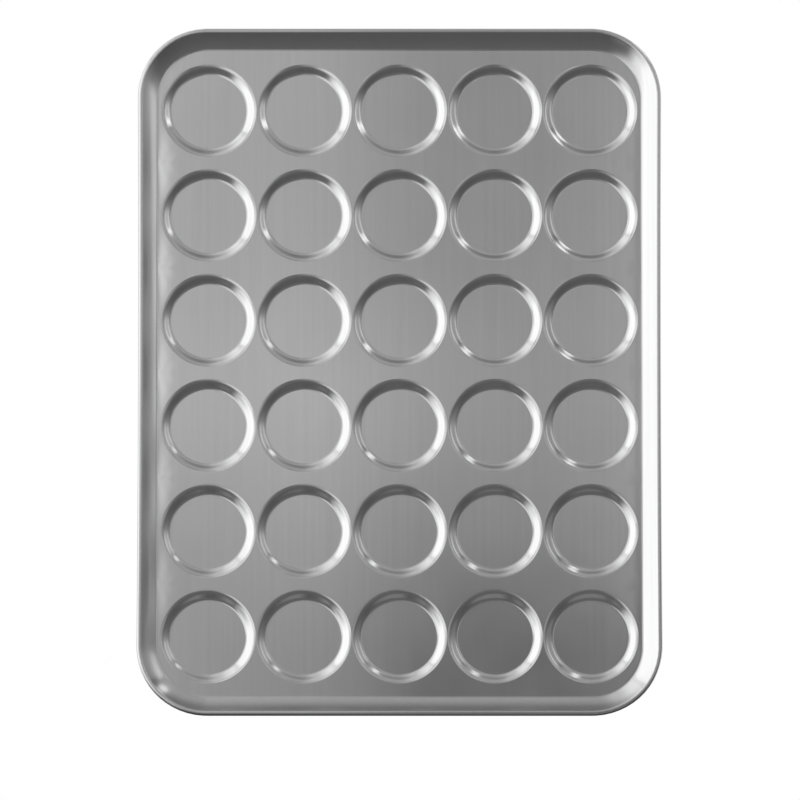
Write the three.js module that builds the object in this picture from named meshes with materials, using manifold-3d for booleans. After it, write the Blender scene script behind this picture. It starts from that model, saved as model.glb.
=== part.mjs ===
// A bakery pan for hamburger buns: one pressed sheet with rows of shallow round cups,
// sloped walls and an edge rolled over a wire. Millimetres, +Z up, standing on z = 0.
// The sheet is one pressing. It is drawn here in zones, divided on the middle lines
// between cups and along the foot of the walls, so that each zone is a simple shape.
import * as THREE from 'three';
import { mergeVertices } from 'three/addons/utils/BufferGeometryUtils.js';
import Module from 'manifold-3d';

const wasm = await Module();
wasm.setup();

// Overall sizes, measured over the rolled rim
const panWidth = 600;
const panLength = 800;
const rimHeight = 15; // top of the rim above the deck
const rimCornerRadius = 81; // outside, seen from above

// Sheet and tray wall. A bend's radius is the one on the inside of the bend
const sheetThickness = 1;
const wallAngle = 42; // degrees up from the deck
const wallFootRadius = 6;

// Cups
const cupMouthDiameter = 107; // where the shoulder bend leaves the deck
const cupDepth = 6.5; // deck to cup floor
const cupWallAngle = 44; // degrees up from the cup floor
const cupCornerRadius = 2.5; // between floor and wall
const cupShoulderRadius = 2; // between wall and deck
const webAcross = 2; // deck between neighbouring mouths, across the pan
const webAlong = 15.5; // deck between neighbouring mouths, along the pan
const cupMargin = 3; // least deck between a mouth and the foot of the tray wall

// Rolled rim and the wire inside it
const wireDiameter = 4;
const wireClearance = 0.3;
const rollSlit = 75; // degrees of the roll left open towards the wall
const wireEndGap = 1; // between the butted ends of the wire

// Gap left between neighbouring zones of the sheet
const zoneGap = 0.3;

// Facets of round shapes
const cupSegments = 16;
const cornerSegments = 6;
const bendFacet = 45; // most degrees in one facet of a bend
const rollFacet = 30; // most degrees in one facet of the roll and the wire

// Cutting shapes stand this far clear of the faces that they cut through
const cutClearance = 1;

const rad = THREE.MathUtils.degToRad;

// Section of the tray wall: x is out from the edge of the deck, y up from the deck
const rollRadius = wireDiameter / 2 + wireClearance + sheetThickness;
const wallRise = 1 - Math.cos(rad(wallAngle));
const wallLength = (rimHeight - (wallFootRadius + rollRadius) * wallRise) / Math.sin(rad(wallAngle));
const wallTop = new THREE.Vector2(
  wallFootRadius * Math.sin(rad(wallAngle)) + wallLength * Math.cos(rad(wallAngle)),
  wallFootRadius * wallRise + wallLength * Math.sin(rad(wallAngle)),
);
const rollCentre = new THREE.Vector2(
  wallTop.x + rollRadius * Math.sin(rad(wallAngle)),
  wallTop.y - rollRadius * Math.cos(rad(wallAngle)),
);
const rimReach = rollCentre.x + rollRadius;

// Plan of the deck, and the height of its upper face above the table
const deckWidth = panWidth - 2 * rimReach;
const deckLength = panLength - 2 * rimReach;
const deckCornerRadius = rimCornerRadius - rimReach;
const cornerX = deckWidth / 2 - deckCornerRadius; // centres of the round corners
const cornerY = deckLength / 2 - deckCornerRadius;
const deckHeight = sheetThickness + cupDepth;

// Cup pattern: as many cups as the deck holds
const pitchAcross = cupMouthDiameter + webAcross;
const pitchAlong = cupMouthDiameter + webAlong;
const columns = Math.floor((deckWidth - 2 * cupMargin + webAcross) / pitchAcross);
const rows = Math.floor((deckLength - 2 * cupMargin + webAlong) / pitchAlong);

/** Points on an arc through the given angles, in degrees, in steps of at most one facet. */
function arc(centre, radius, angles, facet) {
  const points = [];
  angles.slice(1).forEach((to, n) => {
    const from = angles[n];
    const steps = Math.ceil(Math.abs(to - from) / facet);
    for (let step = n === 0 ? 0 : 1; step <= steps; step++) {
      const angle = rad(from + ((to - from) * step) / steps);
      points.push(new THREE.Vector2(
        centre.x + radius * Math.cos(angle),
        centre.y + radius * Math.sin(angle),
      ));
    }
  });
  return points;
}

/** A closed solid from a closed geometry. */
function solidOf(geometry) {
  const bare = geometry.clone();
  bare.deleteAttribute('normal');
  bare.deleteAttribute('uv');
  const merged = mergeVertices(bare);
  const corners = merged.index.array;
  const triangles = [];
  for (let n = 0; n < corners.length; n += 3) {
    const [a, b, c] = corners.slice(n, n + 3);
    if (a !== b && b !== c && c !== a) triangles.push(a, b, c);
  }
  return new wasm.Manifold(new wasm.Mesh({
    numProp: 3,
    vertProperties: merged.attributes.position.array,
    triVerts: new Uint32Array(triangles),
  }));
}

/** A geometry with the faces of a solid. */
function geometryOf(solid) {
  const mesh = solid.getMesh();
  const geometry = new THREE.BufferGeometry();
  geometry.setAttribute('position', new THREE.BufferAttribute(mesh.vertProperties, mesh.numProp));
  geometry.setIndex(new THREE.BufferAttribute(mesh.triVerts, 1));
  geometry.computeVertexNormals();
  return geometry;
}

/** A block between two corners of its plan, tall enough to hold the whole pan. */
function blockOf(low, high) {
  const tall = 2 * (deckHeight + rimHeight);
  const block = new THREE.BoxGeometry(high.x - low.x, high.y - low.y, tall);
  return solidOf(block.translate((low.x + high.x) / 2, (low.y + high.y) / 2, 0));
}

/** Sweeps a closed section, drawn anticlockwise, round the edge of the deck. */
function sweepRoundDeck(section) {
  const positions = [];
  for (let corner = 0; corner < 4; corner++) {
    const sideX = corner === 0 || corner === 3 ? 1 : -1;
    const sideY = corner < 2 ? 1 : -1;
    for (let step = 0; step <= cornerSegments; step++) {
      const turn = rad(90 * (corner + step / cornerSegments));
      for (const point of section) {
        const reach = deckCornerRadius + point.x;
        positions.push(
          sideX * cornerX + reach * Math.cos(turn),
          sideY * cornerY + reach * Math.sin(turn),
          point.y,
        );
      }
    }
  }
  const ring = section.length;
  const stations = positions.length / 3 / ring;
  const faces = [];
  for (let station = 0; station < stations; station++) {
    const here = station * ring;
    const next = ((station + 1) % stations) * ring;
    for (let n = 0; n < ring; n++) {
      const m = (n + 1) % ring;
      faces.push(here + n, next + n, here + m, here + m, next + n, next + m);
    }
  }
  const geometry = new THREE.BufferGeometry();
  geometry.setAttribute('position', new THREE.Float32BufferAttribute(positions, 3));
  geometry.setIndex(faces);
  return geometry;
}

/** The flat sheet of the deck, its upper face at z = 0 and its edge one gap inside the wall's foot. */
function deckPlate() {
  const radius = deckCornerRadius - zoneGap;
  const outline = new THREE.Shape();
  outline.absarc(cornerX, cornerY, radius, 0, Math.PI / 2);
  outline.absarc(-cornerX, cornerY, radius, Math.PI / 2, Math.PI);
  outline.absarc(-cornerX, -cornerY, radius, Math.PI, 1.5 * Math.PI);
  outline.absarc(cornerX, -cornerY, radius, 1.5 * Math.PI, 2 * Math.PI);
  const plate = new THREE.ExtrudeGeometry(outline, {
    depth: sheetThickness,
    bevelEnabled: false,
    curveSegments: cornerSegments / 2, // a round corner takes two facets for each
  });
  return plate.translate(0, 0, -sheetThickness);
}

/** The tray wall with its foot bend and its rolled edge, all round the pan. */
function wallAndRoll() {
  const footCentre = new THREE.Vector2(0, wallFootRadius);
  const footAngles = [-90, wallAngle - 90];
  const rollAngles = [90 + wallAngle, 90, 0, -90, wallAngle + rollSlit - 270];
  const upper = [
    ...arc(footCentre, wallFootRadius, footAngles, bendFacet),
    ...arc(rollCentre, rollRadius, rollAngles, rollFacet),
  ];
  const under = [
    ...arc(footCentre, wallFootRadius + sheetThickness, footAngles, bendFacet),
    ...arc(rollCentre, rollRadius - sheetThickness, rollAngles, rollFacet),
  ];
  return sweepRoundDeck([...under, ...upper.reverse()]);
}

/** A solid of revolution about Z from a section that starts and ends on the axis. */
function turned(section) {
  return new THREE.LatheGeometry(section, cupSegments).rotateX(Math.PI / 2);
}

/** One side of a cup's section, from the floor's edge to the mouth. */
function cupSide(cornerRadius, shoulderRadius) {
  const shoulder = cupShoulderRadius + sheetThickness;
  const slope = rad(cupWallAngle);
  const bends = cupCornerRadius + shoulder;
  const wall = (cupDepth - bends * (1 - Math.cos(slope))) / Math.sin(slope);
  const mouthRadius = cupMouthDiameter / 2;
  const floorRadius = mouthRadius - bends * Math.sin(slope) - wall * Math.cos(slope);
  const cornerCentre = new THREE.Vector2(floorRadius, cupCornerRadius - cupDepth);
  const shoulderCentre = new THREE.Vector2(mouthRadius, -shoulder);
  return [
    ...arc(cornerCentre, cornerRadius, [-90, cupWallAngle - 90], bendFacet),
    ...arc(shoulderCentre, shoulderRadius, [cupWallAngle + 90, 90], bendFacet),
  ];
}

/** The outside of a cup as a full body that reaches half-way up into the deck's sheet. */
function cupBowl() {
  const top = -sheetThickness / 2;
  return turned([
    new THREE.Vector2(0, -cupDepth - sheetThickness),
    ...cupSide(cupCornerRadius + sheetThickness, cupShoulderRadius),
    new THREE.Vector2(cupMouthDiameter / 2, top),
    new THREE.Vector2(0, top),
  ]);
}

/** The room inside a cup, open past the deck. */
function cupRoom() {
  return turned([
    new THREE.Vector2(0, -cupDepth),
    ...cupSide(cupCornerRadius, cupShoulderRadius + sheetThickness),
    new THREE.Vector2(cupMouthDiameter / 2, cutClearance),
    new THREE.Vector2(0, cutClearance),
  ]);
}

/** Low and high edge of one zone of the deck along one axis; the outer zones reach past its edge. */
function zoneSpan(index, count, pitch, deckSize) {
  const reach = deckSize / 2 + cutClearance;
  const low = (index - count / 2) * pitch + zoneGap / 2;
  const high = (index + 1 - count / 2) * pitch - zoneGap / 2;
  return [index === 0 ? -reach : low, index === count - 1 ? reach : high];
}

/** Every cup with its share of the deck, by name, counted from the front left corner. */
function cupZones() {
  const deck = solidOf(deckPlate());
  const bowl = solidOf(cupBowl());
  const room = solidOf(cupRoom());
  const zones = {};
  for (let row = 0; row < rows; row++) {
    for (let column = 0; column < columns; column++) {
      const [lowX, highX] = zoneSpan(column, columns, pitchAcross, deckWidth);
      const [lowY, highY] = zoneSpan(row, rows, pitchAlong, deckLength);
      const share = deck.intersect(blockOf(new THREE.Vector2(lowX, lowY), new THREE.Vector2(highX, highY)));
      const centre = [
        (column - (columns - 1) / 2) * pitchAcross,
        (row - (rows - 1) / 2) * pitchAlong,
        0,
      ];
      const zone = share.add(bowl.translate(centre)).subtract(room.translate(centre));
      zones[`cup_r${row + 1}_c${column + 1}`] = geometryOf(zone);
    }
  }
  return zones;
}

/** The four straight walls and the four round corners of the tray, each with its piece of the roll. */
function wallZones() {
  const ring = solidOf(wallAndRoll());
  const reachX = deckWidth / 2 + rimReach + cutClearance;
  const reachY = deckLength / 2 + rimReach + cutClearance;
  const spansX = {
    left: [-reachX, -cornerX - zoneGap / 2],
    middle: [-cornerX + zoneGap / 2, cornerX - zoneGap / 2],
    right: [cornerX + zoneGap / 2, reachX],
  };
  const spansY = {
    front: [-reachY, -cornerY - zoneGap / 2],
    middle: [-cornerY + zoneGap / 2, cornerY - zoneGap / 2],
    back: [cornerY + zoneGap / 2, reachY],
  };
  const zones = {};
  for (const [sideX, [lowX, highX]] of Object.entries(spansX)) {
    for (const [sideY, [lowY, highY]] of Object.entries(spansY)) {
      if (sideX === 'middle' && sideY === 'middle') continue;
      const name = [sideY, sideX].filter((side) => side !== 'middle').join('_');
      const kind = sideX === 'middle' || sideY === 'middle' ? 'wall' : 'corner';
      const block = blockOf(new THREE.Vector2(lowX, lowY), new THREE.Vector2(highX, highY));
      zones[`${name}_${kind}`] = geometryOf(ring.intersect(block));
    }
  }
  return zones;
}

/** The wire in the roll: one length round the pan, its ends butted behind. */
function rimWire() {
  const section = arc(rollCentre, wireDiameter / 2, [0, 360], rollFacet).slice(0, -1);
  const gapSide = wireDiameter + 2 * cutClearance;
  const gap = new THREE.BoxGeometry(wireEndGap, gapSide, gapSide);
  gap.translate(0, deckLength / 2 + rollCentre.x, rollCentre.y);
  return geometryOf(solidOf(sweepRoundDeck(section)).subtract(solidOf(gap)));
}

const aluminisedSteel = new THREE.MeshStandardMaterial({
  name: 'aluminised_steel',
  color: '#c3c4c5',
  roughness: 0.3,
  metalness: 1,
});
const drawnWire = new THREE.MeshStandardMaterial({
  name: 'drawn_steel_wire',
  color: '#9a9b9c',
  roughness: 0.4,
  metalness: 1,
});

/** Adds one named piece to a group. */
function addPiece(group, name, geometry, material) {
  const mesh = new THREE.Mesh(geometry, material);
  mesh.name = name;
  group.add(mesh);
}

const pan = new THREE.Group();
pan.name = 'hamburger_bun_pan';
pan.position.z = deckHeight;
const sheet = new THREE.Group();
sheet.name = 'pressed_sheet';
for (const [name, geometry] of Object.entries({ ...cupZones(), ...wallZones() })) {
  addPiece(sheet, name, geometry, aluminisedSteel);
}
pan.add(sheet);
addPiece(pan, 'rim_wire', rimWire(), drawnWire);

export default pan;
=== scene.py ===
"""Looks of a hamburger bun pan: a pressed sheet of aluminised steel, its edge rolled over a wire.

The sheet is modelled as one skin, cup by cup, and stands for every zone of the sheet in the frame.
Sizes of the pan are millimetres in the classes below. Its plan, the studio and all meshes are metres.
"""
import logging
import math
from collections.abc import Callable, Iterator
from contextlib import contextmanager
from dataclasses import dataclass, field
from enum import Enum
from itertools import accumulate

import bmesh
import bpy
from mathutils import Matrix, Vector


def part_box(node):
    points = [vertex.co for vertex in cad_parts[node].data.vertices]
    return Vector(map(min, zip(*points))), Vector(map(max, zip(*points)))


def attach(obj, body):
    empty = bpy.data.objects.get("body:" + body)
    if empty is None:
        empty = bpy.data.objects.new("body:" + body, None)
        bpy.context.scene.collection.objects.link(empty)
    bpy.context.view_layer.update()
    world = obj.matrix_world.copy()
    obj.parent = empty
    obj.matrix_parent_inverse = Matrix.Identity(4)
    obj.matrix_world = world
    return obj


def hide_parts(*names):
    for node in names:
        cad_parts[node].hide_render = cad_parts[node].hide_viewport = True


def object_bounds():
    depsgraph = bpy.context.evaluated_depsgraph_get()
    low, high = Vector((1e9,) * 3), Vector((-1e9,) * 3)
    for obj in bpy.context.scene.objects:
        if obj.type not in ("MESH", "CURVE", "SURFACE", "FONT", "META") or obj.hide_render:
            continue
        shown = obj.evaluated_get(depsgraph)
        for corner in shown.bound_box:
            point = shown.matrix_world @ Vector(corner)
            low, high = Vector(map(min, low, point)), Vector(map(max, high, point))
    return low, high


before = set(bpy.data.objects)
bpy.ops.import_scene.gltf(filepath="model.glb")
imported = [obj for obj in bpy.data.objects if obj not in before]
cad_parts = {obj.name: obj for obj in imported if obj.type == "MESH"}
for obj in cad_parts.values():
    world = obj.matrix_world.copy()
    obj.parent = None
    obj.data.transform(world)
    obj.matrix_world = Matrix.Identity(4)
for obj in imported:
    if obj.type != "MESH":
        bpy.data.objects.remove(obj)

CAD_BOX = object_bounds()
MM = 0.001
MERGE = 0.01 * MM  # vertices nearer than this become one
ON_MOUTH = 0.005 * MM  # how near to its circle a vertex on a cup's mouth lies
ON_DECK = 0.001 * MM  # how near to its plane a vertex of the deck lies
PHOTO_SIDE_PX = 800
MIX_A, MIX_B, MIX_OUT = 6, 7, 2  # sockets of a Mix node that mixes colours
LOG = logging.getLogger("bun_pan")


class Slot(Enum):
    """Material slots of the record."""

    SHEET = "aluminised_sheet"
    WIRE = "rim_wire"


class Axis(Enum):
    """Directions along which the cups repeat."""

    ACROSS = 0
    ALONG = 1


def linear_colour(hex_code: str) -> tuple[float, float, float, float]:
    """Turns an sRGB hex colour into linear RGBA.

    Args:
        hex_code: six hex digits with a leading hash.

    Returns:
        Linear red, green, blue and an alpha of one.
    """
    parts = [int(hex_code[n:n + 2], 16) / 255 for n in (1, 3, 5)]
    red, green, blue = [c / 12.92 if c <= 0.04045 else ((c + 0.055) / 1.055) ** 2.4 for c in parts]
    return red, green, blue, 1.0


def add_node(
    tree: bpy.types.NodeTree,
    kind: str,
    inputs: dict[str | int, object] | None = None,
    **settings: object,
) -> bpy.types.Node:
    """Adds one node with its settings, its fixed inputs and its links.

    Args:
        tree: the node tree that gets the node.
        kind: Blender's name of the node type.
        inputs: values or output sockets by the name or number of the input they go to.
        settings: attributes of the node.

    Returns:
        The new node.
    """
    node = tree.nodes.new(kind)
    for name, value in settings.items():
        setattr(node, name, value)
    for name, value in (inputs or {}).items():
        if isinstance(value, bpy.types.NodeSocket):
            tree.links.new(value, node.inputs[name])
        else:
            node.inputs[name].default_value = value
    return node


def new_tree(name: str) -> tuple[bpy.types.Material, bpy.types.NodeTree]:
    """Makes a material with an empty node tree.

    Args:
        name: the material's name.

    Returns:
        The material and its node tree.
    """
    material = bpy.data.materials.new(name)
    material.use_nodes = True
    material.node_tree.nodes.clear()
    return material, material.node_tree


@contextmanager
def editing(piece: bpy.types.Object) -> Iterator[None]:
    """Holds one piece alone in edit mode, with vertices as what is picked.

    Args:
        piece: the mesh object to edit.

    Yields:
        Nothing; the piece leaves edit mode at the end of the block.
    """
    select_only(piece)
    bpy.ops.object.mode_set(mode="EDIT")
    bpy.ops.mesh.select_mode(type="VERT")
    yield
    bpy.ops.object.mode_set(mode="OBJECT")


def select_only(*pieces: bpy.types.Object) -> None:
    """Selects these pieces and nothing else.

    Args:
        pieces: the pieces, of which the first becomes the active one.
    """
    bpy.ops.object.select_all(action="DESELECT")
    for piece in pieces:
        piece.select_set(True)
    bpy.context.view_layer.objects.active = pieces[0]


def pick(piece: bpy.types.Object, test: Callable[[Vector], bool]) -> None:
    """Selects the vertices whose place passes a test, in edit mode.

    Args:
        piece: the mesh object in edit mode.
        test: says whether a vertex at that place is wanted.
    """
    mesh = bmesh.from_edit_mesh(piece.data)
    for vertex in mesh.verts:
        vertex.select_set(test(vertex.co))
    mesh.select_flush_mode()
    bmesh.update_edit_mesh(piece.data)


def pick_border() -> None:
    """Selects the open border of the piece that is in edit mode."""
    bpy.ops.mesh.select_all(action="DESELECT")
    bpy.ops.mesh.select_non_manifold(
        use_wire=False, use_boundary=True, use_multi_face=False, use_non_contiguous=False,
        use_verts=False,
    )


def apply_modifier(piece: bpy.types.Object, kind: str, **settings: object) -> None:
    """Adds a modifier to the active piece and applies it.

    Args:
        piece: the active piece.
        kind: Blender's name of the modifier type.
        settings: attributes of the modifier.
    """
    bpy.ops.object.modifier_add(type=kind)
    modifier = piece.modifiers[-1]
    for name, value in settings.items():
        setattr(modifier, name, value)
    bpy.ops.object.modifier_apply(modifier=modifier.name)


def hang(light: bpy.types.Light, place: tuple[float, float, float]) -> bpy.types.Object:
    """Hangs a lamp in the room, unseen by the camera.

    Args:
        light: the lamp's data.
        place: where it hangs, in metres.

    Returns:
        The lamp's object.
    """
    lamp = bpy.data.objects.new(light.name, light)
    bpy.context.scene.collection.objects.link(lamp)
    lamp.location = place
    lamp.visible_camera = False
    return lamp


def arc_points(
    centre: tuple[float, float], radius: float, start: float, end: float, steps: int
) -> list[tuple[float, float]]:
    """Points on an arc of a section, its first one left out.

    Args:
        centre: the arc's centre.
        radius: its radius.
        start: angle of the first point, in degrees.
        end: angle of the last point, in degrees.
        steps: how many points.

    Returns:
        The points after the first, up to the last.
    """
    angles = [math.radians(start + (end - start) * n / steps) for n in range(1, steps + 1)]
    return [(centre[0] + radius * math.cos(a), centre[1] + radius * math.sin(a)) for a in angles]


@dataclass(frozen=True)
class AluminisedSteel:
    """Cold rolled sheet with a hot dipped aluminium skin: pale grey, satin, grained along the pan.

    The skin takes the smoothness of the rolls, so it mirrors softly, a little more so in some
    patches than in others, and long faint streaks run the way the sheet was rolled.
    """

    colour: str = "#d3d3d3"
    streak_colour: str = "#cacacb"
    roughness: float = 0.18
    roughness_swing: float = 0.03
    streak_width_mm: float = 5.0  # real streaks are finer; drawn this wide so that they show
    streak_length_mm: float = 300.0
    line_octaves: float = 3.0  # of the streaks and of the grain
    patch_mm: float = 70.0
    patch_octaves: float = 2.0
    patch_levels: tuple[float, float] = (0.3, 0.7)  # noise where the skin is smoothest and roughest
    grain_width_mm: float = 1.5
    grain_length_mm: float = 40.0
    grain_depth_mm: float = 0.002

    def material(self) -> bpy.types.Material:
        """Builds the material.

        Returns:
            The material.
        """
        material, tree = new_tree("aluminised_steel_rolled")
        place = add_node(tree, "ShaderNodeTexCoord").outputs["Object"]
        streaks = self.stretched_noise(tree, place, self.streak_width_mm, self.streak_length_mm)
        grain = self.stretched_noise(tree, place, self.grain_width_mm, self.grain_length_mm)
        patches = add_node(
            tree, "ShaderNodeTexNoise",
            {"Vector": place, "Scale": 1 / (self.patch_mm * MM), "Detail": self.patch_octaves},
        ).outputs["Fac"]
        tint = add_node(
            tree, "ShaderNodeMix",
            {
                "Factor": streaks,
                MIX_A: linear_colour(self.streak_colour),
                MIX_B: linear_colour(self.colour),
            },
            data_type="RGBA",
        ).outputs[MIX_OUT]
        rough = add_node(
            tree, "ShaderNodeMapRange",
            {
                "Value": patches,
                "From Min": self.patch_levels[0],
                "From Max": self.patch_levels[1],
                "To Min": self.roughness - self.roughness_swing / 2,
                "To Max": self.roughness + self.roughness_swing / 2,
            },
        ).outputs[0]
        relief = add_node(
            tree, "ShaderNodeBump",
            {"Height": grain, "Distance": self.grain_depth_mm * MM, "Strength": 1.0},
        ).outputs["Normal"]
        shader = add_node(
            tree, "ShaderNodeBsdfPrincipled",
            {"Base Color": tint, "Roughness": rough, "Normal": relief, "Metallic": 1.0},
        )
        add_node(tree, "ShaderNodeOutputMaterial", {"Surface": shader.outputs[0]})
        return material

    def stretched_noise(
        self,
        tree: bpy.types.NodeTree,
        place: bpy.types.NodeSocket,
        width_mm: float,
        length_mm: float,
    ) -> bpy.types.NodeSocket:
        """Adds a noise drawn out along the pan.

        Args:
            tree: the material's node tree.
            place: the coordinates to read.
            width_mm: size of the pattern across the pan.
            length_mm: size of the pattern along the pan.

        Returns:
            The noise as a value socket.
        """
        across, along = 1 / (width_mm * MM), 1 / (length_mm * MM)
        drawn = add_node(
            tree, "ShaderNodeMapping", {"Vector": place, "Scale": (across, along, across)}
        )
        noise = add_node(
            tree, "ShaderNodeTexNoise",
            {"Vector": drawn.outputs[0], "Scale": 1.0, "Detail": self.line_octaves},
        )
        return noise.outputs["Fac"]


@dataclass(frozen=True)
class DrawnWire:
    """Bright drawn steel wire: darker than the sheet and finely scored by the die."""

    colour: str = "#a2a3a4"
    roughness: float = 0.36
    score_mm: float = 0.8  # real scores are finer; drawn this wide so that they show
    score_depth_mm: float = 0.01
    score_strength: float = 0.5
    score_octaves: float = 1.0

    def material(self) -> bpy.types.Material:
        """Builds the material.

        Returns:
            The material.
        """
        material, tree = new_tree("drawn_steel_wire")
        place = add_node(tree, "ShaderNodeTexCoord").outputs["Object"]
        scores = add_node(
            tree, "ShaderNodeTexNoise",
            {"Vector": place, "Scale": 1 / (self.score_mm * MM), "Detail": self.score_octaves},
        ).outputs["Fac"]
        relief = add_node(
            tree, "ShaderNodeBump",
            {
                "Height": scores,
                "Distance": self.score_depth_mm * MM,
                "Strength": self.score_strength,
            },
        ).outputs["Normal"]
        shader = add_node(
            tree, "ShaderNodeBsdfPrincipled",
            {
                "Base Color": linear_colour(self.colour),
                "Roughness": self.roughness,
                "Normal": relief,
                "Metallic": 1.0,
            },
        )
        add_node(tree, "ShaderNodeOutputMaterial", {"Surface": shader.outputs[0]})
        return material


@dataclass
class CupSizes:
    """One cup, sizes on the upper face of the sheet, in millimetres.

    The side is one soft curve: its slope swells from the edge of the floor and dies at the mouth.
    """

    mouth: float = 108.9
    floor: float = 85.4
    depth: float = 6.5
    swell: float = 0.6  # under one, the middle of the side is straighter
    lean: float = 0.86  # under one, the side is steepest nearer to the floor
    rings: int = 11
    fine_steps: int = 60  # steps per ring in which the slope is added up
    deck_rings: int = 3
    side_edges: int = 16  # edges on one side of a cell, as many as on a quarter of the mouth

    def section(self) -> list[tuple[float, float]]:
        """Lays out the cup's side.

        Returns:
            Radius and height above the deck of each ring, from below the mouth to the floor's edge.
        """
        fine = self.fine_steps * self.rings
        shares = [(n / fine) ** self.lean for n in range(fine + 1)]
        climb = list(accumulate(abs(math.sin(math.pi * share)) ** self.swell for share in shares))
        section = []
        for ring in range(1, self.rings + 1):
            part = round(fine * (1 + math.cos(math.pi * ring / self.rings)) / 2)
            radius = (self.floor + (self.mouth - self.floor) * part / fine) / 2
            section.append((radius, self.depth * (climb[part] / climb[-1] - 1)))
        return section


@dataclass
class WallSizes:
    """The tray wall and its rolled edge, sizes on the upper face, in millimetres and degrees.

    Going up, a tight foot bend turns into a slightly hollow wall and that into the roll.
    """

    edge_angle: float = 8.0  # slope of the deck's soft edge, where the foot bend takes over
    foot_angle: float = 32.0
    top_angle: float = 40.5
    foot_radius: float = 6.0
    hollow_radius: float = 138.0
    roll_radius: float = 3.3
    rim_corner: float = 81.0
    slit: float = 75.0  # what the roll leaves open of its circle
    foot_steps: int = 6
    wall_steps: int = 8
    roll_steps: int = 19

    @staticmethod
    def rise(radius: float, start: float, end: float) -> tuple[float, float]:
        """Way along an arc that is hollow on top.

        Args:
            radius: the arc's radius.
            start: slope at its lower end, in degrees.
            end: slope at its upper end, in degrees.

        Returns:
            How far the arc goes out and up.
        """
        low, high = math.radians(start), math.radians(end)
        return radius * (math.sin(high) - math.sin(low)), radius * (math.cos(low) - math.cos(high))

    @property
    def foot_start(self) -> float:
        """Where the foot bend begins, measured out from the deck's edge: the bend straddles it."""
        return -self.rise(self.foot_radius, self.edge_angle, self.foot_angle)[0] / 2

    @property
    def top(self) -> tuple[float, float]:
        """Where the wall meets the roll: out from the deck's edge and up from the deck."""
        foot = self.rise(self.foot_radius, self.edge_angle, self.foot_angle)
        wall = self.rise(self.hollow_radius, self.foot_angle, self.top_angle)
        return self.foot_start + foot[0] + wall[0], foot[1] + wall[1]

    @property
    def roll_centre(self) -> tuple[float, float]:
        """Centre of the roll: out from the deck's edge and up from the deck."""
        slope = math.radians(self.top_angle)
        return (self.top[0] + self.roll_radius * math.sin(slope),
                self.top[1] - self.roll_radius * math.cos(slope))

    @property
    def reach(self) -> float:
        """How far the rim stands out from the deck's edge."""
        return self.roll_centre[0] + self.roll_radius

    def section(self) -> list[tuple[float, float]]:
        """Lays out the wall's side.

        Returns:
            Distance out and height above the deck of each ring after the start of the foot bend.
        """
        section = [(self.foot_start, 0.0)]
        for radius, start, end, steps in (
            (self.foot_radius, self.edge_angle, self.foot_angle, self.foot_steps),
            (self.hollow_radius, self.foot_angle, self.top_angle, self.wall_steps),
        ):
            slope = math.radians(start)
            out, up = section[-1]
            centre = (out - radius * math.sin(slope), up + radius * math.cos(slope))
            section += arc_points(centre, radius, start - 90, end - 90, steps)
        section += arc_points(self.roll_centre, self.roll_radius, 90 + self.top_angle,
                              self.top_angle + self.slit - 270, self.roll_steps)
        return section[1:]


@dataclass
class SpringBack:
    """How the pressed sheet relaxes along its long sides, in millimetres.

    Each bend is a soft step in height: where it begins and ends, measured out from the deck's
    edge, and what it adds. The left edge sags between the cups, the right one turns up. The
    bends die out before the corners, and both sides bow in.
    """

    left_bends: tuple[tuple[float, float, float], ...] = ((-14.0, -1.2, -0.9), (8.0, 18.0, 0.9))
    right_bends: tuple[tuple[float, float, float], ...] = ((-8.0, 4.0, 0.6),)
    bow: float = 1.7
    bow_width: float = 20.0  # from the deck's edge out to where the bow is full
    corner_power: int = 8  # the higher, the nearer to the corners the bends die out

    def relax(self, piece: bpy.types.Object, plan: "PanPlan") -> None:
        """Moves the vertices near the long edges.

        Args:
            piece: a piece that stands in its place.
            plan: the pan's plan.
        """
        with editing(piece):
            mesh = bmesh.from_edit_mesh(piece.data)
            for vertex in mesh.verts:
                past = (abs(vertex.co.x) - plan.deck.x) / MM
                bowed = min(max(past / self.bow_width, 0), 1)
                bowed *= 1 - (vertex.co.y / plan.half_length) ** 2
                free = max(1 - (vertex.co.y / plan.corner.y) ** self.corner_power, 0)
                bends = self.right_bends
                if vertex.co.x < 0:
                    bends = self.left_bends
                    free *= math.cos(math.pi * vertex.co.y / plan.pitch.y) ** 2
                for start, end, height in bends:
                    part = min(max((past - start) / (end - start), 0), 1)
                    vertex.co.z += height * MM * part ** 2 * (3 - 2 * part) * free
                vertex.co.x -= math.copysign(self.bow * MM * bowed, vertex.co.x)
            bmesh.update_edit_mesh(piece.data)


@dataclass
class PanPlan:
    """Plan of the pan, in metres, read from the frame. Its middle lies over the origin."""

    wall: WallSizes
    spring: SpringBack
    columns: int = 5
    rows: int = 6
    half_length: float = field(init=False)
    deck: Vector = field(init=False)
    corner_radius: float = field(init=False)
    corner: Vector = field(init=False)
    deck_height: float = field(init=False)
    pitch: Vector = field(init=False)

    def __post_init__(self) -> None:
        """Reads the frame's box and the places of a cup and two of its neighbours."""
        low, high = CAD_BOX
        reach = self.wall.reach * MM
        self.half_length = (high.y - low.y) / 2
        self.deck = Vector(((high.x - low.x) / 2 - reach, self.half_length - reach))
        self.corner_radius = self.wall.rim_corner * MM - reach
        self.corner = self.deck - Vector((self.corner_radius, self.corner_radius))
        self.deck_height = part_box("cup_r3_c3")[1].z
        here = self.middle("cup_r3_c3")
        aside = self.middle("cup_r3_c4")
        next_row = self.middle("cup_r4_c3")
        self.pitch = Vector((aside.x - here.x, next_row.y - here.y))

    @staticmethod
    def middle(node: str) -> Vector:
        """Middle of a node's box."""
        low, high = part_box(node)
        return (low + high) / 2

    def sheet_nodes(self) -> list[str]:
        """Names of the frame's nodes that are zones of the sheet."""
        return [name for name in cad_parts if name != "rim_wire"]


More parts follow.
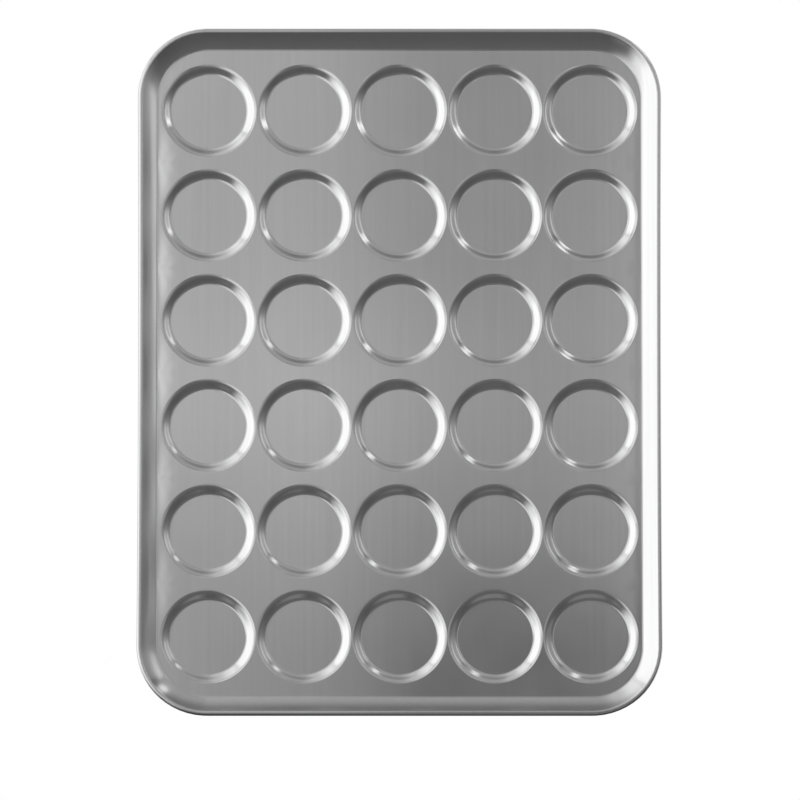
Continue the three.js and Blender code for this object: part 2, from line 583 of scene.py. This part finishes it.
@dataclass
class PanSheet:
    """The pressed sheet: deck, cups, walls and rolled edge in one skin of even thickness.

    Its own sizes are millimetres and degrees.
    """

    plan: PanPlan
    cup: CupSizes
    wall: WallSizes
    finish: AluminisedSteel
    thickness: float = 1.0
    wave_height: float = 0.25
    wave_length: float = 160.0
    smooth_angle: float = 40.0

    def build(self) -> bpy.types.Object:
        """Models the sheet and dresses it.

        Returns:
            The finished piece.
        """
        sheet = self.cup_cell()
        self.repeat_cells(sheet)
        self.round_border(sheet)
        self.cut_deck(sheet)
        self.raise_wall(sheet)
        self.settle(sheet)
        sheet.name = sheet.data.name = "pressed_pan_sheet"
        sheet.data.materials.append(self.finish.material())
        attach(sheet, "root")
        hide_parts(*self.plan.sheet_nodes())
        return sheet

    def cup_cell(self) -> bpy.types.Object:
        """Models one cup with its share of the deck, the deck at z = 0.

        Returns:
            The cell's object.
        """
        bpy.ops.object.select_all(action="DESELECT")
        bpy.ops.mesh.primitive_plane_add(size=1.0)
        cell = bpy.context.active_object
        mouth = self.cup.mouth / 2 * MM
        with editing(cell):
            bpy.ops.mesh.select_all(action="SELECT")
            bpy.ops.transform.resize(value=(*self.plan.pitch, 1.0))
            bpy.ops.mesh.delete(type="ONLY_FACE")
            bpy.ops.mesh.select_all(action="SELECT")
            bpy.ops.mesh.subdivide(number_cuts=self.cup.side_edges - 1)
            bpy.ops.mesh.primitive_circle_add(vertices=4 * self.cup.side_edges, radius=mouth)
            bpy.ops.mesh.select_all(action="SELECT")
            bpy.ops.mesh.bridge_edge_loops()
            pick(cell, lambda place: place.length < mouth + MERGE)
            radius, height = mouth, 0.0
            for next_radius, next_height in self.cup.section():
                bpy.ops.mesh.extrude_region_move(
                    TRANSFORM_OT_translate={"value": (0, 0, next_height * MM - height)}
                )
                scale = next_radius * MM / radius
                bpy.ops.transform.resize(value=(scale, scale, 1.0), center_override=(0, 0, 0))
                radius, height = next_radius * MM, next_height * MM
            bpy.ops.mesh.fill_grid(span=self.cup.side_edges)
        return cell

    def repeat_cells(self, sheet: bpy.types.Object) -> None:
        """Repeats the cell over the deck and centres the block.

        Args:
            sheet: the cell, which becomes the block of cells.
        """
        select_only(sheet)
        for axis, count in ((Axis.ACROSS, self.plan.columns), (Axis.ALONG, self.plan.rows)):
            step = [0.0, 0.0, 0.0]
            step[axis.value] = self.plan.pitch[axis.value]
            apply_modifier(
                sheet, "ARRAY", count=count, use_relative_offset=False, use_constant_offset=True,
                constant_offset_displace=step, use_merge_vertices=True, merge_threshold=MERGE,
            )
        back_x = -(self.plan.columns - 1) / 2 * self.plan.pitch.x
        back_y = -(self.plan.rows - 1) / 2 * self.plan.pitch.y
        with editing(sheet):
            bpy.ops.mesh.select_all(action="SELECT")
            bpy.ops.transform.translate(value=(back_x, back_y, 0))

    def round_border(self, sheet: bpy.types.Object) -> None:
        """Moves the block's border out to where the foot bend starts, with round corners.

        Args:
            sheet: the block of cells.
        """
        start = self.wall.foot_start * MM
        radius = self.plan.corner_radius + start
        edge = self.plan.deck + Vector((start, start))
        with editing(sheet):
            pick_border()
            border = [v for v in bmesh.from_edit_mesh(sheet.data).verts if v.select]
            corners: dict[tuple[int, int], list[bmesh.types.BMVert]] = {}
            for vertex in border:
                side = (1 if vertex.co.x > 0 else -1, 1 if vertex.co.y > 0 else -1)
                past = [abs(vertex.co[n]) > self.plan.corner[n] for n in (0, 1)]
                if all(past):
                    corners.setdefault(side, []).append(vertex)
                else:
                    axis = past.index(True)
                    vertex.co[axis] = side[axis] * edge[axis]
            for side, run in corners.items():
                centre = Vector((side[0] * self.plan.corner.x, side[1] * self.plan.corner.y))
                run.sort(key=lambda v: math.atan2(abs(v.co.y) - self.plan.corner.y,
                                                  abs(v.co.x) - self.plan.corner.x))
                for n, vertex in enumerate(run):
                    turn = math.pi / 2 * (n + 0.5) / len(run)
                    vertex.co.x = centre.x + side[0] * radius * math.cos(turn)
                    vertex.co.y = centre.y + side[1] * radius * math.sin(turn)
            bmesh.update_edit_mesh(sheet.data)

    def cut_deck(self, sheet: bpy.types.Object) -> None:
        """Cuts the deck round each mouth into rings, so that it can bend.

        Args:
            sheet: the deck with its cups, the deck at z = 0.
        """
        counts = (self.plan.columns, self.plan.rows)

        def on_mouth(place: Vector) -> bool:
            """Says whether a place lies on a cup's mouth."""
            off = [((place[n] / self.plan.pitch[n] + counts[n] / 2) % 1 - 0.5) * self.plan.pitch[n]
                   for n in (0, 1)]
            return abs(math.hypot(*off) - self.cup.mouth / 2 * MM) < ON_MOUTH

        with editing(sheet):
            bpy.ops.mesh.select_mode(type="EDGE")
            mesh = bmesh.from_edit_mesh(sheet.data)
            for edge in mesh.edges:
                level = all(abs(vertex.co.z) < ON_DECK for vertex in edge.verts)
                ends = [on_mouth(vertex.co) for vertex in edge.verts]
                edge.select_set(level and ends[0] != ends[1])
            bmesh.update_edit_mesh(sheet.data)
            bpy.ops.mesh.subdivide(number_cuts=self.cup.deck_rings)

    def raise_wall(self, sheet: bpy.types.Object) -> None:
        """Raises the wall and the roll from the border, ring by ring, and joins them to the deck.

        Args:
            sheet: the deck with its cups.
        """
        with editing(sheet):
            pick_border()
            bpy.ops.mesh.duplicate()
            bpy.ops.mesh.separate(type="SELECTED")
        rim = next(o for o in bpy.context.selected_objects if o != sheet)
        with editing(rim):
            bpy.ops.mesh.select_all(action="SELECT")
            out, up = self.wall.foot_start, 0.0
            for next_out, next_up in self.wall.section():
                bpy.ops.mesh.extrude_region_move(
                    TRANSFORM_OT_translate={"value": (0, 0, (next_up - up) * MM)}
                )
                self.spread_ring(rim, out * MM, next_out * MM)
                out, up = next_out, next_up
        select_only(sheet, rim)
        bpy.ops.object.join()

    def spread_ring(self, rim: bpy.types.Object, out: float, next_out: float) -> None:
        """Moves the selected ring out: its sides straight, its corners away from their centres.

        Args:
            rim: the wall's object in edit mode.
            out: how far the ring is from the deck's edge, in metres.
            next_out: how far it is to be, in metres.
        """
        mesh = bmesh.from_edit_mesh(rim.data)
        ring = {v.index for v in mesh.verts if v.select}
        corner = self.plan.corner
        growth = (self.plan.corner_radius + next_out) / (self.plan.corner_radius + out)
        for side_x in (-1, 0, 1):
            for side_y in (-1, 0, 1):
                if side_x == side_y == 0:
                    continue
                mesh = bmesh.from_edit_mesh(rim.data)
                for vertex in mesh.verts:
                    zone = [0 if abs(c) <= limit else math.copysign(1, c)
                            for c, limit in zip(vertex.co.xy, corner)]
                    vertex.select_set(vertex.index in ring and zone == [side_x, side_y])
                mesh.select_flush_mode()
                if side_x and side_y:
                    centre = (side_x * corner.x, side_y * corner.y, 0)
                    bpy.ops.transform.resize(value=(growth, growth, 1.0), center_override=centre)
                else:
                    step = next_out - out
                    bpy.ops.transform.translate(value=(side_x * step, side_y * step, 0))
        mesh = bmesh.from_edit_mesh(rim.data)
        for vertex in mesh.verts:
            vertex.select_set(vertex.index in ring)
        mesh.select_flush_mode()

    def settle(self, sheet: bpy.types.Object) -> None:
        """Lifts the skin to its height, relaxes and waves it slightly and gives it its thickness.

        Args:
            sheet: the whole skin, the deck at z = 0.
        """
        with editing(sheet):
            bpy.ops.mesh.select_all(action="SELECT")
            bpy.ops.mesh.remove_doubles(threshold=MERGE)
            bpy.ops.mesh.normals_make_consistent(inside=False)
            bpy.ops.transform.translate(value=(0, 0, self.plan.deck_height))
            mesh = bmesh.from_edit_mesh(sheet.data)
            lowest = min(mesh.faces, key=lambda face: face.calc_center_median().z)
            if lowest.normal.z < 0:
                bpy.ops.mesh.flip_normals()
        self.plan.spring.relax(sheet, self.plan)
        select_only(sheet)
        waves = bpy.data.textures.new("sheet_waves", type="CLOUDS")
        waves.noise_scale = self.wave_length * MM
        waves.noise_depth = 0
        apply_modifier(
            sheet, "DISPLACE", texture=waves, direction="Z", strength=self.wave_height * MM
        )
        apply_modifier(
            sheet, "SOLIDIFY", thickness=self.thickness * MM, offset=-1.0, use_even_offset=True
        )
        bpy.ops.object.shade_smooth_by_angle(angle=math.radians(self.smooth_angle))
        apply_modifier(sheet, "WEIGHTED_NORMAL", keep_sharp=True)


@dataclass
class RimWire:
    """The wire in the roll: one length round the pan, its ends butted in the middle of the back.

    Its own sizes are millimetres and degrees.
    """

    plan: PanPlan
    wall: WallSizes
    finish: DrawnWire
    diameter: float = 4.0
    end_gap: float = 1.0
    facets: int = 24
    corner_steps: int = 16
    run_steps: int = 24  # on each straight run, so that it can follow the bow of the sides
    smooth_angle: float = 40.0

    def build(self) -> bpy.types.Object:
        """Models the wire and dresses it.

        Returns:
            The finished piece.
        """
        out, up = (size * MM for size in self.wall.roll_centre)
        level = self.plan.deck_height + up
        back = self.plan.deck.y + out
        start = self.end_gap / 2 * MM
        bpy.ops.object.select_all(action="DESELECT")
        bpy.ops.mesh.primitive_circle_add(
            vertices=self.facets, radius=self.diameter / 2 * MM, fill_type="NGON",
            location=(start, back, level), rotation=(0, math.pi / 2, 0),
        )
        wire = bpy.context.active_object
        bpy.ops.object.transform_apply(location=True, rotation=True, scale=True)
        corner = self.plan.corner
        runs = [
            ((corner.x - start, 0), (1, 1)),
            ((0, -2 * corner.y), (1, -1)),
            ((-2 * corner.x, 0), (-1, -1)),
            ((0, 2 * corner.y), (-1, 1)),
        ]
        with editing(wire):
            bpy.ops.mesh.select_all(action="SELECT")
            for (step_x, step_y), (side_x, side_y) in runs:
                part = (step_x / self.run_steps, step_y / self.run_steps, 0)
                for _ in range(self.run_steps):
                    bpy.ops.mesh.extrude_region_move(TRANSFORM_OT_translate={"value": part})
                bpy.ops.mesh.spin(
                    steps=self.corner_steps, angle=math.pi / 2, axis=(0, 0, 1),
                    center=(side_x * corner.x, side_y * corner.y, level),
                )
            bpy.ops.mesh.extrude_region_move(
                TRANSFORM_OT_translate={"value": (corner.x - start, 0, 0)}
            )
            bpy.ops.mesh.select_all(action="SELECT")
            bpy.ops.mesh.remove_doubles(threshold=MERGE)
            bpy.ops.mesh.normals_make_consistent(inside=False)
        self.plan.spring.relax(wire, self.plan)
        select_only(wire)
        bpy.ops.object.shade_smooth_by_angle(angle=math.radians(self.smooth_angle))
        wire.name = wire.data.name = "rim_wire_round"
        wire.data.materials.append(self.finish.material())
        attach(wire, "root")
        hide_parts("rim_wire")
        return wire


class Side(Enum):
    """Sides of the room that lamps hang on."""

    CEILING = "ceiling"
    LEFT = "left"
    RIGHT = "right"
    BACK = "back"
    FRONT = "front"


@dataclass(frozen=True)
class SoftBox:
    """One flat lamp on a side of the room, in metres, its light fading out towards its edges.

    The first span runs across the side, along Y on the left and the right and along X on the
    others. The second one runs up it, along Y on the ceiling and along Z on the others. Each fade
    is the width of the dimmed strip at the low and at the high end of a span.
    """

    name: str
    side: Side
    across: tuple[float, float]
    up: tuple[float, float]
    radiance: float
    across_fade: tuple[float, float] = (0.0, 0.0)
    up_fade: tuple[float, float] = (0.0, 0.0)
    room_half: float = 1.8
    room_height: float = 1.5

    def build(self, behind: float) -> bpy.types.Object:
        """Makes the lamp.

        Args:
            behind: how far it hangs behind its side of the room, so that no two lamps coincide.

        Returns:
            The lamp's object, which the camera doesn't show.
        """
        width, height = (span[1] - span[0] for span in (self.across, self.up))
        middle, level = (sum(span) / 2 for span in (self.across, self.up))
        far, high = self.room_half + behind, self.room_height + behind
        place, heading, axes = {
            Side.CEILING: ((middle, level, high), (0, 0, -1), "XY"),
            Side.LEFT: ((-far, middle, level), (1, 0, 0), "YZ"),
            Side.RIGHT: ((far, middle, level), (-1, 0, 0), "YZ"),
            Side.BACK: ((middle, far, level), (0, -1, 0), "XZ"),
            Side.FRONT: ((middle, -far, level), (0, 1, 0), "XZ"),
        }[self.side]
        light = bpy.data.lights.new(self.name, type="AREA")
        light.shape = "RECTANGLE"
        light.size = width
        light.size_y = height
        light.energy = self.radiance * math.pi * width * height
        self.fade(light, axes)
        lamp = hang(light, place)
        lamp.rotation_euler = Vector(heading).to_track_quat("-Z", "Y").to_euler()
        return lamp

    def fade(self, light: bpy.types.AreaLight, axes: str) -> None:
        """Dims the lamp towards its edges.

        Args:
            light: the lamp's data.
            axes: the axes along the two spans.
        """
        light.use_nodes = True
        tree = light.node_tree
        tree.nodes.clear()
        place = add_node(tree, "ShaderNodeNewGeometry").outputs["Position"]
        parts = add_node(tree, "ShaderNodeSeparateXYZ", {0: place}).outputs
        glow: bpy.types.NodeSocket | float = 1.0
        spans = ((self.across, self.across_fade), (self.up, self.up_fade))
        for axis, (span, fades) in zip(axes, spans):
            for edge, inwards in ((span[0], fades[0]), (span[1], -fades[1])):
                if inwards == 0:
                    continue
                ramp = add_node(
                    tree, "ShaderNodeMapRange",
                    {"Value": parts[axis], "From Min": edge, "From Max": edge + inwards},
                    interpolation_type="SMOOTHSTEP",
                )
                glow = add_node(
                    tree, "ShaderNodeMath", {0: ramp.outputs[0], 1: glow}, operation="MULTIPLY"
                ).outputs[0]
        shine = add_node(tree, "ShaderNodeEmission", {"Color": (1, 1, 1, 1), "Strength": glow})
        add_node(tree, "ShaderNodeOutputLight", {"Surface": shine.outputs[0]})


@dataclass
class Studio:
    """White floor, grey surroundings and soft lamps. Lengths are metres where a name gives no unit.

    The floor in front of the pan carries painted shade where the pan mirrors it, as in a studio whose
    front is unlit: that glow lightens over the front span, measured from the pan's front edge. The
    surroundings are dark in front too: they lighten as a heading rises, and as it turns from the
    front to the sides.
    """

    floor_side: float = 80.0
    floor_colour: str = "#e6e6e6"
    floor_drop_mm: float = 0.2  # keeps the floor clear of the faces that rest on it
    contact_mm: float = 12.0  # how far the shade reaches from where the pan rests
    contact_samples: int = 8
    front_span: tuple[float, float] = (-0.02, 0.04)
    # painted shade: how bright the pan mirrors the floor right in front of its front edge
    front_shade: float = 0.02
    grey: float = 0.16
    front_grey: float = 0.03
    front_rise: tuple[float, float] = (-0.1, 0.65)
    front_turn: tuple[float, float] = (-0.5, -0.1)
    corner_lamp_place: tuple[float, float, float] = (0.55, 0.71, 0.21)
    corner_lamp_radius: float = 0.09
    corner_lamp_radiance: float = 1.2
    lamp_step: float = 0.005  # how much farther out each next lamp hangs
    lamps: tuple[SoftBox, ...] = (
        SoftBox("ceiling_left", Side.CEILING, (-1.8, -0.14), (-0.79, 1.8), 1.10,
                (0, 0.53), (1.92, 0.83)),
        SoftBox("ceiling_middle", Side.CEILING, (-0.64, 0.01), (-1.0, 1.8), 0.23,
                (0, 0.11), (0, 0.16)),
        SoftBox("ceiling_front_left", Side.CEILING, (-1.8, -0.45), (-1.5, 0.05), 0.85,
                (0, 0.4), (0.6, 0.17)),
        SoftBox("ceiling_right", Side.CEILING, (-0.2, 0.6), (-0.04, 1.8), 0.22,
                (0, 0), (0.19, 0.24)),
        SoftBox("ceiling_strip", Side.CEILING, (0.32, 0.51), (-0.1, 0.8), 0.65,
                (0.11, 0), (0.03, 0.33)),
        SoftBox("ceiling_far_right", Side.CEILING, (1.15, 1.57), (0.05, 1.77), 0.46,
                (0.07, 0.07), (0.75, 0.15)),
        SoftBox("ceiling_band", Side.CEILING, (-0.1, -0.03), (-0.2, 0.16), 0.17,
                (0.03, 0.03), (0.1, 0.1)),
        SoftBox("left_window_low", Side.LEFT, (-1.26, 1.8), (0.0, 1.13), 1.43,
                (1.05, 0), (0, 0.27)),
        SoftBox("left_window_high", Side.LEFT, (-1.8, 1.8), (0.85, 1.5), 1.07,
                (1.08, 0), (0.2, 0)),
        SoftBox("right_wall", Side.RIGHT, (-0.49, 1.8), (0.48, 1.5), 0.57,
                (1.86, 0), (0.48, 0.36)),
        SoftBox("back_wall_left", Side.BACK, (-1.8, 0.01), (0.0, 1.5), 1.12,
                (0, 1.47), (0.25, 0.02)),
        SoftBox("back_wall_right", Side.BACK, (-0.8, 1.8), (0.1, 1.5), 0.33,
                (0.34, 0), (0.49, 0.04)),
        SoftBox("ceiling_centre", Side.CEILING, (-0.88, 0.27), (0.18, 0.42), 0.14,
                (0.21, 0.21), (0.06, 0.06)),
        SoftBox("ceiling_wide_right", Side.CEILING, (0.2, 1.8), (-0.81, 1.8), 0.25,
                (0.34, 0), (0.41, 0)),
        SoftBox("right_wall_strip", Side.RIGHT, (0.12, 1.8), (0.67, 0.97), 0.52,
                (0.4, 0.2), (0.08, 0.06)),
        SoftBox("right_wall_front", Side.RIGHT, (-1.17, 0.55), (0.5, 0.75), 0.2,
                (0.62, 0.4), (0.1, 0.1)),
        SoftBox("right_wall_low", Side.RIGHT, (-0.1, 1.6), (0.1, 0.75), 0.21,
                (0.6, 0.2), (0.1, 0.15)),
        SoftBox("ceiling_front", Side.CEILING, (-0.9, 1.4), (-1.62, -0.3), 0.03,
                (0, 0.3), (0.3, 0.3)),
        SoftBox("back_wall_low", Side.BACK, (-1.5, 1.5), (0.15, 0.55), 0.03,
                (0.2, 0.2), (0.1, 0.1)),
        SoftBox("front_wall_left", Side.FRONT, (-1.8, -0.5), (0.0, 1.3), 0.28,
                (0, 1.2), (0, 0.2)),
        SoftBox("left_wall_front", Side.LEFT, (-1.8, -0.5), (0.0, 1.3), 0.28,
                (0, 0.6), (0, 0.2)),
        SoftBox("front_low", Side.FRONT, (-0.2, 0.95), (0.26, 0.52), 0.17,
                (0.2, 0.3), (0.04, 0.04), room_half=0.9),
    )

    def build(self) -> None:
        """Makes the floor, the lamps and the surroundings."""
        self.floor()
        for number, lamp in enumerate(self.lamps):
            lamp.build(number * self.lamp_step)
            LOG.info("lamp %s", lamp.name)
        self.corner_lamp()
        self.surroundings()

    def corner_lamp(self) -> None:
        """Hangs a small round lamp low behind the right back corner."""
        light = bpy.data.lights.new("corner_lamp", type="POINT")
        light.shadow_soft_size = self.corner_lamp_radius
        light.energy = self.corner_lamp_radiance * 4 * (math.pi * self.corner_lamp_radius) ** 2
        hang(light, self.corner_lamp_place)

    def floor(self) -> None:
        """Lays a wide floor that shows white and darkens close under the pan."""
        bpy.ops.object.select_all(action="DESELECT")
        height = CAD_BOX[0].z - self.floor_drop_mm * MM
        bpy.ops.mesh.primitive_plane_add(size=self.floor_side, location=(0, 0, height))
        floor = bpy.context.active_object
        floor.name = "studio_floor"
        material, tree = new_tree("white_floor")
        path = add_node(tree, "ShaderNodeLightPath")
        mirrored = add_node(
            tree, "ShaderNodeMath",
            {0: path.outputs["Is Camera Ray"], 1: path.outputs["Is Glossy Ray"]},
            operation="MAXIMUM",
        )
        seen = add_node(
            tree, "ShaderNodeMath",
            {0: mirrored.outputs[0], 1: path.outputs["Is Transmission Ray"]},
            operation="MAXIMUM",
        )
        near = add_node(
            tree, "ShaderNodeAmbientOcclusion", {"Distance": self.contact_mm * MM},
            samples=self.contact_samples,
        ).outputs["Color"]
        place = add_node(tree, "ShaderNodeTexCoord").outputs["Object"]
        along = add_node(tree, "ShaderNodeSeparateXYZ", {0: place}).outputs["Y"]
        edge = CAD_BOX[0].y
        # painted shade: the floor's glow, as the pan mirrors it, is dimmed by place in front of the
        # pan
        front = add_node(
            tree, "ShaderNodeMapRange",
            {
                "Value": along,
                "From Min": edge + self.front_span[0],
                "From Max": edge + self.front_span[1],
                "To Min": self.front_shade,
            },
        )
        level = add_node(
            tree, "ShaderNodeMath",
            {0: front.outputs[0], 1: path.outputs["Is Camera Ray"]},
            operation="MAXIMUM",
        )
        paint = add_node(tree, "ShaderNodeBsdfDiffuse", {"Color": linear_colour(self.floor_colour)})
        glow = add_node(tree, "ShaderNodeEmission", {"Color": near, "Strength": level.outputs[0]})
        shown = add_node(
            tree, "ShaderNodeMixShader",
            {0: seen.outputs[0], 1: paint.outputs[0], 2: glow.outputs[0]},
        )
        add_node(tree, "ShaderNodeOutputMaterial", {"Surface": shown.outputs[0]})
        floor.data.materials.append(material)

    def surroundings(self) -> None:
        """Sets grey surroundings that are even, but darker low down in front of the pan."""
        world = bpy.data.worlds.new("studio_grey")
        bpy.context.scene.world = world
        world.use_nodes = True
        tree = world.node_tree
        tree.nodes.clear()
        place = add_node(tree, "ShaderNodeTexCoord").outputs["Generated"]
        heading = add_node(tree, "ShaderNodeSeparateXYZ", {0: place}).outputs
        front = add_node(
            tree, "ShaderNodeMapRange",
            {
                "Value": heading["Z"],
                "From Min": self.front_rise[0],
                "From Max": self.front_rise[1],
                "To Min": self.front_grey,
                "To Max": self.grey,
            },
        )
        level = add_node(
            tree, "ShaderNodeMapRange",
            {
                "Value": heading["Y"],
                "From Min": self.front_turn[0],
                "From Max": self.front_turn[1],
                "To Min": front.outputs[0],
                "To Max": self.grey,
            },
        )
        sky = add_node(
            tree, "ShaderNodeBackground", {"Color": (1, 1, 1, 1), "Strength": level.outputs[0]}
        )
        add_node(tree, "ShaderNodeOutputWorld", {"Surface": sky.outputs[0]})


@dataclass
class PhotoCamera:
    """A far camera with a long lens, tilted a little towards the front of the pan.

    The elevation is in degrees, the distance in metres and the sensor in millimetres.
    """

    elevation: float = 78.6
    distance: float = 22.0
    mm_per_px: float = 1.1407
    outline_px: tuple[float, float] = (399.5, 370.95)  # middle of the pan's outline in the frame
    aim_height_mm: float = 18.2  # middle of the rolled edge, which makes the pan's outline
    sensor: float = 36.0

    def build(self) -> bpy.types.Object:
        """Makes the camera and gives it to the scene.

        Returns:
            The camera's object.
        """
        data = bpy.data.cameras.new("photo_camera")
        camera = bpy.data.objects.new("photo_camera", data)
        bpy.context.scene.collection.objects.link(camera)
        tilt = math.radians(self.elevation)
        back = Vector((0, -math.cos(tilt), math.sin(tilt)))
        upright = Vector((0, math.sin(tilt), math.cos(tilt)))
        middle_px = PHOTO_SIDE_PX / 2
        shift_x = (middle_px - self.outline_px[0]) * self.mm_per_px * MM
        shift_y = (self.outline_px[1] - middle_px) * self.mm_per_px * MM
        target = Vector((shift_x, 0, self.aim_height_mm * MM)) + upright * shift_y
        camera.location = target + back * self.distance
        camera.rotation_euler = (-back).to_track_quat("-Z", "Y").to_euler()
        data.sensor_width = self.sensor
        data.lens = self.sensor * self.distance / (PHOTO_SIDE_PX * self.mm_per_px * MM)
        data.clip_end = 2 * self.distance
        bpy.context.scene.camera = camera
        return camera


def main() -> None:
    """Builds the pan, the studio and the camera."""
    logging.basicConfig(level=logging.INFO, format="%(name)s: %(message)s")
    wall = WallSizes()
    plan = PanPlan(wall, SpringBack())
    sheet = PanSheet(plan, CupSizes(), wall, AluminisedSteel())
    wire = RimWire(plan, wall, DrawnWire())
    for maker in (sheet, wire):
        piece = maker.build()
        LOG.info("%s: %d faces", piece.name, len(piece.data.polygons))
    Studio().build()
    PhotoCamera().build()
    bpy.context.scene.view_settings.view_transform = "Standard"


if __name__ == "__main__":
    main()
